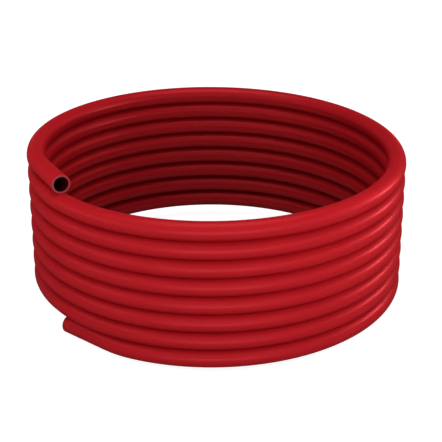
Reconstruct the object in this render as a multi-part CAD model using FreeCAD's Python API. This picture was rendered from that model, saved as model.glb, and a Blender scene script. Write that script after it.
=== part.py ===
import FreeCAD, Part
import math
import os

# A coil of plain air tube: one unbroken length of thin-walled tube, wound as a single layer of turns.
# Millimetres, Z up. The coil's axis is upright through the origin, and the origin is at floor level.
# Seen from above, the tube climbs counter-clockwise. Its two cut ends lie one above the other.

# Tube
TUBE_DIAMETER = 10.0
TUBE_BORE = 8.0

# Winding
INSIDE_DIAMETER = 200.0  # of the drum that the turns were wound on
TURN_COUNT = 8  # from one cut face round to the other
TURN_GAP = 0.55  # from the top of one turn up to the underside of the next
LEAST_GAP = 0.4  # the tube never comes as near to itself as this
QUARTER_TURN = math.pi / 2  # the stretch of a turn that one pair of arcs follows

# Cut ends
END_ANGLE = math.radians(217.5)  # where both cut faces are, counter-clockwise from +X
END_STRAIGHT = 32.0  # the springy tube runs straight for this far before each cut
END_BEND_RADIUS = 60.0  # of the arc that leads each straight end off the winding circle

# Standing face
FLAT_DEPTH = 0.5  # taken off the underside of the lowest stretch, where the coil stands
FLOOR_CUT_MARGIN = 10.0  # how far the block that cuts it reaches past the coil

# Measuring
POINTS_PER_TURN = 240

# Worked out from the sizes above
tube_radius = TUBE_DIAMETER / 2
winding_radius = INSIDE_DIAMETER / 2 + tube_radius
pitch = TUBE_DIAMETER + TURN_GAP
climb = pitch / (2 * math.pi * winding_radius)  # rise per millimetre travelled in plan
turn_length = math.hypot(2 * math.pi * winding_radius, pitch)
bend_inset = winding_radius - END_BEND_RADIUS  # from the coil's axis to the bend's own centre


# Cut ends in plan

def bend_angle():
    """The turn of an end's bend that brings the tip of its straight back onto the winding circle."""
    reach = math.hypot(END_STRAIGHT, END_BEND_RADIUS)
    side = END_STRAIGHT**2 / (2 * bend_inset) - END_BEND_RADIUS
    return math.atan2(END_BEND_RADIUS, END_STRAIGHT) + math.asin(side / reach)


def end_span(bend):
    """The angle about the coil's axis that one bend and its straight take up."""
    out = bend_inset + END_BEND_RADIUS * math.cos(bend) - END_STRAIGHT * math.sin(bend)
    along = END_BEND_RADIUS * math.sin(bend) + END_STRAIGHT * math.cos(bend)
    return math.atan2(along, out)


# Centreline

def station(x, y, heading, travelled):
    """A place on the centreline and the way the tube runs there, at a distance travelled in plan."""
    place = FreeCAD.Vector(x, y, tip_height + climb * travelled)
    way = FreeCAD.Vector(math.cos(heading), math.sin(heading), climb)
    return place, way.normalize()


def on_circle(angle, travelled):
    x = winding_radius * math.cos(angle)
    y = winding_radius * math.sin(angle)
    return station(x, y, angle + math.pi / 2, travelled)


def end_stations(junction, side, travelled):
    """The straight's inner end and its tip. side is 1 at the upper end and -1 at the lower one."""
    bend = bend_angle()
    heading = junction + side * bend + math.pi / 2
    x = bend_inset * math.cos(junction) + END_BEND_RADIUS * math.sin(heading)
    y = bend_inset * math.sin(junction) - END_BEND_RADIUS * math.cos(heading)
    travelled += side * END_BEND_RADIUS * bend
    inner = station(x, y, heading, travelled)
    x += side * END_STRAIGHT * math.cos(heading)
    y += side * END_STRAIGHT * math.sin(heading)
    tip = station(x, y, heading, travelled + side * END_STRAIGHT)
    return inner, tip


def biarc(start, finish):
    """Two arcs that join two stations and keep the tube's direction at both."""
    (p0, t0), (p1, t1) = start, finish
    across = p1 - p0
    both = t0 + t1
    along = across.dot(both)
    spread = 4 - both.dot(both)
    reach = across.dot(across) / (along + math.sqrt(along**2 + spread * across.dot(across)))
    corner0 = p0 + t0 * reach
    corner1 = p1 - t1 * reach
    middle = (corner0 + corner1) / 2
    return [arc(p0, corner0, middle), arc(middle, corner1, p1)]


def arc(first, corner, last):
    """The arc that touches first-corner at first and corner-last at last."""
    chord_middle = (first + last) / 2
    weight = (chord_middle - first).Length / (corner - first).Length
    top = (chord_middle + corner * weight) / (1 + weight)
    return Part.Arc(first, top, last).toShape()


# Solids

def pipe(edges, start, diameter):
    """A solid rod of this diameter along the edges, which begin at the station start."""
    section = Part.Wire([Part.makeCircle(diameter / 2, *start)])
    shell = Part.BRepOffsetAPI.MakePipeShell(Part.Wire(edges))
    shell.add(section)
    shell.build()
    shell.makeSolid()
    return shell.shape()


def straight_tube(tip, inner):
    """A straight length of tube between two places on the centreline."""
    run = inner - tip
    outside = Part.makeCylinder(tube_radius, run.Length, tip, run)
    bore = Part.makeCylinder(TUBE_BORE / 2, run.Length, tip, run)
    return outside.cut(bore)


def cut_flat(shape):
    """The shape with what lies below the floor taken off."""
    if shape.BoundBox.ZMin >= 0:
        return shape
    half = winding_radius + tube_radius + FLOOR_CUT_MARGIN
    corner = FreeCAD.Vector(-half, -half, -half)
    return shape.cut(Part.makeBox(2 * half, 2 * half, half, corner))


# Measuring

def least_gap(edges):
    """The nearest that the tube comes to itself, from points along its centreline."""
    points = Part.Wire(edges).discretize(Distance=turn_length / POINTS_PER_TURN)
    apart = POINTS_PER_TURN // 2
    nearest = min(
        points[i].distanceToPoint(points[j])
        for i in range(len(points))
        for j in range(i + apart, len(points))
    )
    return nearest - TUBE_DIAMETER


# Build

bend = bend_angle()
span = end_span(bend)
wound = TURN_COUNT * 2 * math.pi - 2 * span  # the angle that lies on the winding circle
end_travel = END_STRAIGHT + END_BEND_RADIUS * bend
wound_travel = winding_radius * wound

# the lower tip's own underside is the lowest point of the tube, and the floor is FLAT_DEPTH above it
tip_height = tube_radius / math.hypot(1, climb) - FLAT_DEPTH

first_junction = END_ANGLE + span
last_junction = first_junction + wound

# the arcs of every turn meet at the same angles, so that one turn lies evenly on the next
quarters = math.ceil((last_junction - END_ANGLE) / QUARTER_TURN)
quarter_angles = [END_ANGLE + QUARTER_TURN * i for i in range(1, quarters)]
turns = [
    on_circle(angle, end_travel + winding_radius * (angle - first_junction))
    for angle in (first_junction, *quarter_angles, last_junction)
]
lower_inner, lower_tip = end_stations(first_junction, -1, end_travel)
upper_inner, upper_tip = end_stations(last_junction, 1, end_travel + wound_travel)

stations = [lower_inner, *turns, upper_inner]
coil_edges = [edge for a, b in zip(stations, stations[1:]) for edge in biarc(a, b)]
lower_line = Part.LineSegment(lower_tip[0], lower_inner[0]).toShape()
upper_line = Part.LineSegment(upper_inner[0], upper_tip[0]).toShape()
centreline = [lower_line, *coil_edges, upper_line]

coil = pipe(coil_edges, lower_inner, TUBE_DIAMETER).cut(pipe(coil_edges, lower_inner, TUBE_BORE))
nodes = {
    "hose_coil": cut_flat(coil),
    "lower_tail": cut_flat(straight_tube(lower_tip[0], lower_inner[0])),
    "upper_tail": cut_flat(straight_tube(upper_tip[0], upper_inner[0])),
}

os.makedirs("parts", exist_ok=True)
for name, shape in nodes.items():
    solid = shape.Solids[0]
    solid.exportStep(f"parts/{name}.step")
    print(f"{name}: {len(shape.Solids)} solid, valid {solid.isValid()}, volume {solid.Volume:.1f} mm3")

coil_length = sum(edge.Length for edge in coil_edges)
ring_area = math.pi * (TUBE_DIAMETER**2 - TUBE_BORE**2) / 4
gap = least_gap(centreline)
radii = [edge.Curve.Radius for edge in coil_edges]
print(f"coil volume over section times length: {coil.Volume / (ring_area * coil_length):.6f}")
print(f"arc radii: {min(radii):.2f} to {max(radii):.2f} mm")
print(f"tube length: {sum(edge.Length for edge in centreline):.1f} mm")
print(f"least gap between turns: {gap:.3f} mm, over {LEAST_GAP} mm: {gap > LEAST_GAP}")
print(f"ends: bend {math.degrees(bend):.2f} degrees, span {math.degrees(span):.2f} degrees")
for name, (tip, way), side in (("lower", lower_tip, -1), ("upper", upper_tip, 1)):
    place = " ".join(f"{value:.9f}" for value in tip)
    faces = " ".join(f"{value * side:.12f}" for value in way)
    print(f"{name} tip: {place}, faces {faces}")
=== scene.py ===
import math
from bisect import bisect_right

import bmesh
import bpy
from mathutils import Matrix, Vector


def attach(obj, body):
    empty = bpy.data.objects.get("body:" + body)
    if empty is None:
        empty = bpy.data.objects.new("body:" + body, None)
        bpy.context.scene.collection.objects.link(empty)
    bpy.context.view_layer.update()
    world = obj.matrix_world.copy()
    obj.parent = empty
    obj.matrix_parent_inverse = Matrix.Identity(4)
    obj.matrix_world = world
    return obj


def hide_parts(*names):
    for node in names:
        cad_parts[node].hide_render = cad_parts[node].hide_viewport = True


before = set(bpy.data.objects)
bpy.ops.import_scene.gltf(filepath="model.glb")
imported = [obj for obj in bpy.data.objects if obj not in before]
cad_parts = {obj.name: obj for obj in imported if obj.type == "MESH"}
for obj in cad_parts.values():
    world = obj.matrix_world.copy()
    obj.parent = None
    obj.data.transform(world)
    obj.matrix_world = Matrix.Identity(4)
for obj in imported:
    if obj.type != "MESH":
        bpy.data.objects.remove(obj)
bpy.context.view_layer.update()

# A coil of plain red air tube: one unbroken length, wound as a single layer of touching turns.
# Metres, Z up. The coil's axis is upright through the origin, and the tube climbs counter-clockwise.

# Route of the tube, in the CAD's own sizes
TUBE_DIAMETER = 0.010
INSIDE_DIAMETER = 0.200  # of the drum that the turns were wound on
TURN_COUNT = 8  # from one cut face round to the other
TURN_GAP = 0.00055
END_ANGLE = math.radians(217.5)  # where both cut faces are, counter-clockwise from +X
END_STRAIGHT = 0.032
END_BEND_RADIUS = 0.060
FLAT_DEPTH = 0.0005  # the CAD's standing flat, which the round tube reaches through

# Tube as it looks, filled out until each turn touches the next
SKIN_DIAMETER = 0.01052
BORE_DIAMETER = 0.0084
RIM_EASE = 0.00016  # by which the four edges of the cut faces are eased
SIDES = 40
RING_SPACING = 0.0045
LINE_STEPS = 8  # points read from the route for each of its control points

# Camera, fitted to the outline and the grooves in the photograph
CAMERA_TARGET = Vector((0.0024, 0, 0.0394))
CAMERA_DISTANCE = 0.7201
CAMERA_ELEVATION = math.radians(23.73)
CAMERA_LENS = 97.435  # millimetres on a sensor 36 mm wide

# Worked out from the sizes above
winding_radius = (INSIDE_DIAMETER + TUBE_DIAMETER) / 2
pitch = TUBE_DIAMETER + TURN_GAP
climb = pitch / (2 * math.pi * winding_radius)  # rise per metre travelled in plan
tip_height = TUBE_DIAMETER / 2 / math.hypot(1, climb) - FLAT_DEPTH
floor_height = tip_height - SKIN_DIAMETER / 2


# Camera

def make_camera():
    """A camera straight in front of the coil, looking down on it."""
    data = bpy.data.cameras.new("camera")
    data.lens = CAMERA_LENS
    camera = bpy.data.objects.new("camera", data)
    back = Vector((0, -math.cos(CAMERA_ELEVATION), math.sin(CAMERA_ELEVATION)))
    camera.location = CAMERA_TARGET + back * CAMERA_DISTANCE
    camera.rotation_euler = (math.pi / 2 - CAMERA_ELEVATION, 0, 0)
    bpy.context.scene.collection.objects.link(camera)
    bpy.context.scene.camera = camera


# Route

def bend_angle():
    """The turn of an end's bend that brings the tip of its straight back onto the winding circle."""
    inset = winding_radius - END_BEND_RADIUS
    reach = math.hypot(END_STRAIGHT, END_BEND_RADIUS)
    side = END_STRAIGHT**2 / (2 * inset) - END_BEND_RADIUS
    return math.atan2(END_BEND_RADIUS, END_STRAIGHT) + math.asin(side / reach)


def end_span(bend):
    """The angle about the coil's axis that one bend and its straight take up."""
    inset = winding_radius - END_BEND_RADIUS
    out = inset + END_BEND_RADIUS * math.cos(bend) - END_STRAIGHT * math.sin(bend)
    along = END_BEND_RADIUS * math.sin(bend) + END_STRAIGHT * math.cos(bend)
    return math.atan2(along, out)


def flat_direction(angle):
    """The level direction at this angle, counter-clockwise from +X."""
    return Vector((math.cos(angle), math.sin(angle), 0))


def raised(place, travelled):
    """The place lifted to the tube's height after this distance in plan."""
    return place + Vector((0, 0, tip_height + climb * travelled))


def end_points(junction, side, bend, travelled):
    """Control points from a junction out to the tip. side is 1 at the upper end and -1 at the lower one."""
    reach = END_BEND_RADIUS * math.tan(bend / 2)
    heading = flat_direction(junction + side * bend + math.pi / 2) * side
    corner = flat_direction(junction) * winding_radius
    corner += flat_direction(junction + math.pi / 2) * side * reach
    bent = travelled + side * END_BEND_RADIUS * bend
    return [
        raised(corner, travelled + side * END_BEND_RADIUS * bend / 2),
        raised(corner + heading * 2 * reach, bent + side * reach),
        raised(corner + heading * (reach + END_STRAIGHT), bent + side * END_STRAIGHT),
    ]


def route_points():
    """Control points of the tube's line, from the lower cut face up to the upper one."""
    bend = bend_angle()
    span = end_span(bend)
    wound = TURN_COUNT * 2 * math.pi - 2 * span
    end_travel = END_STRAIGHT + END_BEND_RADIUS * bend
    first = END_ANGLE + span
    # the turns' points lie as far from a junction as the bend's own corner does
    count = round(wound / (2 * math.atan(END_BEND_RADIUS * math.tan(bend / 2) / winding_radius)))
    step = wound / count
    points = end_points(first, -1, bend, end_travel)[::-1]
    for i in range(count):
        turned = step * (i + 0.5)
        corner = flat_direction(first + turned) * winding_radius / math.cos(step / 2)
        points.append(raised(corner, end_travel + winding_radius * turned))
    return points + end_points(first + wound, 1, bend, end_travel + winding_radius * wound)


def smooth_line(points):
    """Places read along the smooth spline that these control points draw."""
    curve = bpy.data.curves.new("route", "CURVE")
    curve.dimensions = "3D"
    spline = curve.splines.new("NURBS")
    spline.points.add(len(points) - 1)
    for knot, point in zip(spline.points, points):
        knot.co = (*point, 1)
    spline.order_u = 3
    spline.use_endpoint_u = True
    spline.resolution_u = LINE_STEPS
    holder = bpy.data.objects.new("route", curve)
    mesh = bpy.data.meshes.new_from_object(holder)
    line = [vertex.co.copy() for vertex in mesh.vertices]
    bpy.data.meshes.remove(mesh)
    bpy.data.objects.remove(holder)
    bpy.data.curves.remove(curve)
    return line


class Line:
    """A line through read places, measured along its length."""

    def __init__(self, places):
        self.places = places
        self.travelled = [0.0]
        for a, b in zip(places, places[1:]):
            self.travelled.append(self.travelled[-1] + (b - a).length)
        ways = [(b - a).normalized() for a, b in zip(places, places[1:])]
        inner = [(a + b).normalized() for a, b in zip(ways, ways[1:])]
        self.ways = [ways[0], *inner, ways[-1]]

    def at(self, distance):
        """The place and the direction at this distance along the line."""
        last = len(self.places) - 2
        i = min(max(bisect_right(self.travelled, distance) - 1, 0), last)
        share = (distance - self.travelled[i]) / (self.travelled[i + 1] - self.travelled[i])
        place = self.places[i].lerp(self.places[i + 1], share)
        return place, self.ways[i].lerp(self.ways[i + 1], share).normalized()


# Tube

SKIN, CUT, BORE = range(3)  # material slots of the hose
SHARP_ANGLE = math.radians(60)  # the four rims turn by more than this, and nothing else does
FLAT_FACING = 0.99  # how far along the tube a cut face looks
WALL_FACING = 0.05  # and how far a wall may


def straight_tube(bm, length):
    """The whole tube before it was wound: outer wall, bore and two cut faces with eased edges."""
    outer, inner = SKIN_DIAMETER / 2, BORE_DIAMETER / 2
    corners = [bm.verts.new((radius, 0, z)) for radius, z in (
        (outer, 0), (outer, length), (inner, length), (inner, 0))]
    section = [bm.edges.new(pair) for pair in zip(corners, corners[1:] + corners[:1])]
    bmesh.ops.spin(
        bm, geom=corners + section, cent=(0, 0, 0), axis=(0, 0, 1), angle=2 * math.pi, steps=SIDES,
        use_merge=True)
    bmesh.ops.recalc_face_normals(bm, faces=bm.faces)
    rims = [edge for edge in bm.edges if edge.calc_face_angle() > SHARP_ANGLE]
    bmesh.ops.bevel(
        bm, geom=rims, offset=RIM_EASE, segments=2, profile=0.5, affect="EDGES", material=-1)
    for face in bm.faces:
        flat = abs(face.normal.z) > FLAT_FACING
        face.smooth = not flat
        if abs(face.normal.z) > WALL_FACING:
            face.material_index = CUT
        else:
            radius = face.verts[0].co.to_2d().length
            face.material_index = SKIN if radius > (outer + inner) / 2 else BORE
    long_edges = [edge for edge in bm.edges if edge.calc_length() > length / 2]
    bmesh.ops.subdivide_edges(bm, edges=long_edges, cuts=round(length / RING_SPACING))


def wind(bm, line):
    """Lays a straight tube along the line, and keeps its straight form in an attribute for the materials."""
    unwound = bm.verts.layers.float_vector.new("unwound")
    up = Vector((0, 0, 1))
    for vert in bm.verts:
        vert[unwound] = vert.co
        place, way = line.at(vert.co.z)
        inward = up.cross(way).normalized()
        vert.co = place + inward * vert.co.x + way.cross(inward) * vert.co.y


def make_hose():
    """The whole hose in one piece, which stands for the coil and both of its ends."""
    line = Line(smooth_line(route_points()))
    bm = bmesh.new()
    straight_tube(bm, line.travelled[-1])
    wind(bm, line)
    mesh = bpy.data.meshes.new("hose")
    bm.to_mesh(mesh)
    bm.free()
    hose = bpy.data.objects.new("hose", mesh)
    bpy.context.scene.collection.objects.link(hose)
    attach(hose, "root")
    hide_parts("hose_coil", "lower_tail", "upper_tail")
    return hose


# Node helpers

def add_node(tree, kind, settings=None, inputs=None):
    """A new node with these properties. An input is a plain value or the socket that feeds it."""
    node = tree.nodes.new(kind)
    for name, value in (settings or {}).items():
        setattr(node, name, value)
    for name, value in (inputs or {}).items():
        if isinstance(value, bpy.types.NodeSocket):
            tree.links.new(value, node.inputs[name])
        else:
            node.inputs[name].default_value = value
    return node


def new_group(name, inputs, outputs):
    """A shader node group with these number inputs, given as names and defaults, and these number outputs."""
    tree = bpy.data.node_groups.new(name, "ShaderNodeTree")
    for label, value in inputs.items():
        socket = tree.interface.new_socket(label, in_out="INPUT", socket_type="NodeSocketFloat")
        socket.default_value = value
    for label in outputs:
        tree.interface.new_socket(label, in_out="OUTPUT", socket_type="NodeSocketFloat")
    return tree, tree.nodes.new("NodeGroupInput").outputs, tree.nodes.new("NodeGroupOutput").inputs


def use_group(tree, group, inputs):
    """The outputs of a shared effect that is given these inputs."""
    node = add_node(tree, "ShaderNodeGroup", {"node_tree": group}, inputs)
    return node.outputs


# Effects that the materials share. Scales are per metre of the tube before it was wound

def drawn_lines_group():
    """Fine lines that run along the tube, as the die leaves them."""
    tree, given, out = new_group("drawn_lines", {"Across": 1600.0, "Along": 6.0}, ["Lines"])
    unwound = add_node(tree, "ShaderNodeAttribute", {"attribute_name": "unwound"}).outputs["Vector"]
    stretch = add_node(
        tree, "ShaderNodeCombineXYZ", None,
        {"X": given["Across"], "Y": given["Across"], "Z": given["Along"]})
    place = add_node(
        tree, "ShaderNodeVectorMath", {"operation": "MULTIPLY"}, {0: unwound, 1: stretch.outputs[0]})
    noise = add_node(
        tree, "ShaderNodeTexNoise", None,
        {"Vector": place.outputs[0], "Scale": 1.0, "Detail": 3.0, "Roughness": 0.6})
    tree.links.new(noise.outputs["Fac"], out["Lines"])
    return tree


def patches_group():
    """Slow, soft patches over the surface, from 0 to 1."""
    tree, given, out = new_group("patches", {"Scale": 60.0, "Low": 0.35, "High": 0.65}, ["Mask"])
    unwound = add_node(tree, "ShaderNodeAttribute", {"attribute_name": "unwound"}).outputs["Vector"]
    noise = add_node(
        tree, "ShaderNodeTexNoise", None,
        {"Vector": unwound, "Scale": given["Scale"], "Detail": 4.0, "Roughness": 0.55})
    ramp = add_node(
        tree, "ShaderNodeMapRange", None,
        {"Value": noise.outputs["Fac"], "From Min": given["Low"], "From Max": given["High"]})
    tree.links.new(ramp.outputs["Result"], out["Mask"])
    return tree


# Materials

SKIN_TONES = (0.515, 0.0105, 0.0170), (0.485, 0.0095, 0.0155)
SKIN_ROUGHNESS = 0.32, 0.38
SKIN_LINE_DEPTH = 0.00006
SKIN_FLUSH = 0.09  # share of the skin's gloss that takes the plastic's own red
FLUSH_EDGE = (1.0, 0.10, 0.13)  # the tint of that share where the skin turns away
COAT_FACING = 0.16  # clear gloss where the skin faces the eye, less as it turns away
COAT_ROUGHNESS = 0.34
RUBBED_TONE = (0.58, 0.035, 0.042)
RUBBED_SHARE = 0.10  # of that tone, in the most rubbed places
RUBBED_ROUGHNESS = 0.06  # added there

CUT_TONES = (0.29, 0.026, 0.032), (0.36, 0.040, 0.046)
CUT_ROUGHNESS = 0.5, 0.7
CUT_MARK_DEPTH = 0.00003

# The bore's tones are painted shade: the tube is red all through, and these near-black tones stand in for the
# shade inside it.
BORE_PAINTED_SHADE_TONES = (0.085, 0.0012, 0.0020), (0.070, 0.0010, 0.0016)
BORE_ROUGHNESS = 0.35, 0.5
BORE_LINE_DEPTH = 0.00002

MIX_FIRST, MIX_SECOND, MIX_RESULT = 6, 7, 2  # a Mix node's colour sockets


def new_material(name, constants):
    """A material with a Principled surface and these constants on its own sockets."""
    material = bpy.data.materials.new(name)
    material.use_nodes = True
    tree = material.node_tree
    surface = tree.nodes["Principled BSDF"]
    for label, value in constants.items():
        surface.inputs[label].default_value = value
    return material, tree, surface


def blend_colors(tree, share, first, second):
    """A colour between two, each a plain colour or the socket that feeds it."""
    mix = add_node(tree, "ShaderNodeMix", {"data_type": "RGBA"})
    tree.links.new(share, mix.inputs["Factor"])
    for socket, color in ((mix.inputs[MIX_FIRST], first), (mix.inputs[MIX_SECOND], second)):
        if isinstance(color, bpy.types.NodeSocket):
            tree.links.new(color, socket)
        else:
            socket.default_value = (*color, 1)
    return mix.outputs[MIX_RESULT]


def spread_value(tree, value, low, high):
    """A value from 0 to 1 laid out between low and high."""
    node = add_node(tree, "ShaderNodeMapRange", None, {"Value": value, "To Min": low, "To Max": high})
    return node.outputs["Result"]


def bump(tree, surface, height, depth):
    """Relief on the surface from a height of 0 to 1, this deep in metres."""
    node = add_node(tree, "ShaderNodeBump", None, {"Height": height, "Distance": depth, "Strength": 1.0})
    tree.links.new(node.outputs["Normal"], surface.inputs["Normal"])


def skin_material(drawn_lines, patches):
    """Smooth red plastic with a half-gloss skin, faint die lines and slow changes of tone."""
    material, tree, surface = new_material("red_skin", {
        "Metallic": SKIN_FLUSH, "Specular IOR Level": 0.0, "Specular Tint": (*FLUSH_EDGE, 1),
        "Coat Roughness": COAT_ROUGHNESS, "Coat IOR": 1.5})
    lines = use_group(tree, drawn_lines, {"Across": 1600.0, "Along": 6.0})["Lines"]
    tone = use_group(tree, patches, {"Scale": 45.0, "Low": 0.3, "High": 0.7})["Mask"]
    rubbed = use_group(tree, patches, {"Scale": 260.0, "Low": 0.62, "High": 0.78})["Mask"]
    color = blend_colors(tree, tone, *SKIN_TONES)
    color = blend_colors(tree, spread_value(tree, rubbed, 0.0, RUBBED_SHARE), color, RUBBED_TONE)
    tree.links.new(color, surface.inputs["Base Color"])
    roughness = add_node(tree, "ShaderNodeMath", {"operation": "ADD"}, {
        0: spread_value(tree, lines, *SKIN_ROUGHNESS), 1: spread_value(tree, rubbed, 0.0, RUBBED_ROUGHNESS)})
    tree.links.new(roughness.outputs[0], surface.inputs["Roughness"])
    edge_on = add_node(tree, "ShaderNodeLayerWeight", None, {"Blend": 0.5}).outputs["Facing"]
    tree.links.new(spread_value(tree, edge_on, COAT_FACING, 0.0), surface.inputs["Coat Weight"])
    bump(tree, surface, lines, SKIN_LINE_DEPTH)
    return material


def cut_material(drawn_lines):
    """The knife's cut: matt, with fine marks and less depth of colour than the skin."""
    material, tree, surface = new_material("cut_face", {"Specular IOR Level": 0.4})
    marks = use_group(tree, drawn_lines, {"Across": 5200.0, "Along": 5200.0})["Lines"]
    tree.links.new(blend_colors(tree, marks, *CUT_TONES), surface.inputs["Base Color"])
    tree.links.new(spread_value(tree, marks, *CUT_ROUGHNESS), surface.inputs["Roughness"])
    bump(tree, surface, marks, CUT_MARK_DEPTH)
    return material


def bore_painted_shade_material(drawn_lines):
    """The inside wall, of the same red plastic as the skin but painted near-black: painted shade for the
    little light that reaches in.
    """
    material, tree, surface = new_material("bore", {"Specular IOR Level": 0.3})
    lines = use_group(tree, drawn_lines, {"Across": 1200.0, "Along": 4.0})["Lines"]
    tree.links.new(blend_colors(tree, lines, *BORE_PAINTED_SHADE_TONES), surface.inputs["Base Color"])
    tree.links.new(spread_value(tree, lines, *BORE_ROUGHNESS), surface.inputs["Roughness"])
    bump(tree, surface, lines, BORE_LINE_DEPTH)
    return material


# Stage

FLOOR_HALF = 3.0
FLOOR_COLOR = 0.35  # as the camera and gloss see it
FLOOR_BOUNCE = 0.03  # as the light that it passes on to the coil sees it
FLOOR_GLOW = 0.90  # what the floor shows of its own to the camera and in gloss, so that it reads as white
WORLD_LIGHT = 0.12
BACKDROP_TOP = math.sin(math.radians(35))  # in gloss the backdrop fades out from the horizon up to here


def greater(tree, first, second):
    return add_node(tree, "ShaderNodeMath", {"operation": "MAXIMUM"}, {0: first, 1: second}).outputs[0]


def product(tree, first, second):
    return add_node(tree, "ShaderNodeMath", {"operation": "MULTIPLY"}, {0: first, 1: second}).outputs[0]


def ray_kinds(tree):
    """Two values: 1 for a ray from the camera, and 1 for one that came by way of gloss or glass."""
    path = add_node(tree, "ShaderNodeLightPath").outputs
    return path["Is Camera Ray"], greater(tree, path["Is Glossy Ray"], path["Is Transmission Ray"])


def make_floor():
    """A wide pale floor at the underside of the lowest turn."""
    bm = bmesh.new()
    grid = bmesh.ops.create_grid(bm, x_segments=1, y_segments=1, size=FLOOR_HALF)
    bmesh.ops.translate(bm, verts=grid["verts"], vec=(0, 0, floor_height))
    mesh = bpy.data.meshes.new("floor")
    bm.to_mesh(mesh)
    bm.free()
    floor = bpy.data.objects.new("floor", mesh)
    bpy.context.scene.collection.objects.link(floor)
    material = bpy.data.materials.new("pale_floor")
    material.use_nodes = True
    tree = material.node_tree
    tree.nodes.clear()
    seen = greater(tree, *ray_kinds(tree))
    color = spread_value(tree, seen, FLOOR_BOUNCE, FLOOR_COLOR)
    plain = add_node(tree, "ShaderNodeBsdfDiffuse", None, {"Color": color})
    share = product(tree, seen, FLOOR_GLOW)
    glow = add_node(tree, "ShaderNodeEmission", None, {"Color": (1, 1, 1, 1), "Strength": share})
    both = add_node(tree, "ShaderNodeAddShader", None, {0: plain.outputs[0], 1: glow.outputs[0]})
    add_node(tree, "ShaderNodeOutputMaterial", None, {"Surface": both.outputs[0]})
    mesh.materials.append(material)


def make_world():
    """Even soft light. The camera sees a white backdrop, and gloss sees it fade out above the horizon."""
    world = bpy.data.worlds.new("studio")
    bpy.context.scene.world = world
    world.use_nodes = True
    tree = world.node_tree
    tree.nodes.clear()
    way = add_node(tree, "ShaderNodeTexCoord").outputs["Generated"]
    height = add_node(tree, "ShaderNodeSeparateXYZ", None, {"Vector": way}).outputs["Z"]
    fade = add_node(
        tree, "ShaderNodeMapRange", None,
        {"Value": height, "From Min": 0.0, "From Max": BACKDROP_TOP, "To Min": 1.0, "To Max": WORLD_LIGHT})
    camera, mirrored = ray_kinds(tree)
    white = greater(tree, camera, product(tree, mirrored, fade.outputs["Result"]))
    strength = greater(tree, white, WORLD_LIGHT)
    glow = add_node(tree, "ShaderNodeBackground", None, {"Color": (1, 1, 1, 1), "Strength": strength})
    add_node(tree, "ShaderNodeOutputWorld", None, {"Surface": glow.outputs[0]})


def make_lamp(name, direction, elevation, distance, size, power, diffuse=True, gloss=True):
    """A soft rectangular lamp aimed at the coil. direction is in degrees, counter-clockwise from +X."""
    data = bpy.data.lights.new(name, "AREA")
    data.shape = "RECTANGLE"
    data.size, data.size_y = size
    data.energy = power
    lamp = bpy.data.objects.new(name, data)
    lamp.visible_camera = False
    lamp.visible_diffuse = diffuse
    lamp.visible_glossy = gloss
    out = flat_direction(math.radians(direction)) * math.cos(math.radians(elevation))
    out.z = math.sin(math.radians(elevation))
    lamp.location = CAMERA_TARGET + out * distance
    lamp.rotation_euler = (-out).to_track_quat("-Z", "Y").to_euler()
    bpy.context.scene.collection.objects.link(lamp)


def make_lamps():
    """Low lamps round the coil and a wide one overhead. Two of them draw the streaks on its right flank."""
    make_lamp("front", direction=-90, elevation=0, distance=0.90, size=(0.90, 0.075), power=1.80)
    make_lamp("near_front", direction=-90, elevation=40, distance=0.33, size=(0.30, 0.12), power=0.06)
    make_lamp("low_front", direction=-90, elevation=-3, distance=0.27, size=(0.36, 0.04), power=0.025)
    make_lamp("rim_front", direction=-90, elevation=15, distance=0.23, size=(0.30, 0.05), power=0.050)
    make_lamp("left", direction=-150, elevation=17, distance=0.24, size=(0.20, 0.05), power=0.058)
    make_lamp("high_left", direction=-150, elevation=50, distance=0.45, size=(0.30, 0.25), power=0.17)
    make_lamp(
        "right", direction=-39, elevation=17, distance=0.24, size=(0.20, 0.05), power=0.110, gloss=False)
    make_lamp("right_back", direction=18, elevation=24, distance=0.90, size=(0.70, 0.34), power=0.90)
    make_lamp(
        "streak", direction=-14, elevation=14, distance=0.30, size=(0.12, 0.03), power=0.045, diffuse=False)
    make_lamp(
        "streak_end", direction=5, elevation=13, distance=0.30, size=(0.09, 0.03), power=0.27, diffuse=False)
    make_lamp(
        "low_right_back", direction=33, elevation=10, distance=0.90, size=(0.30, 0.30), power=0.20)
    make_lamp("top", direction=0, elevation=90, distance=1.10, size=(0.80, 0.80), power=6.20)
    make_lamp("back", direction=90, elevation=0, distance=0.90, size=(0.90, 0.075), power=2.40)


# Build

make_camera()
hose = make_hose()

drawn_lines = drawn_lines_group()
patches = patches_group()
for material in (skin_material(drawn_lines, patches), cut_material(drawn_lines), bore_painted_shade_material(drawn_lines)):
    hose.data.materials.append(material)

make_floor()
make_world()
make_lamps()
bpy.context.scene.view_settings.view_transform = "Standard"
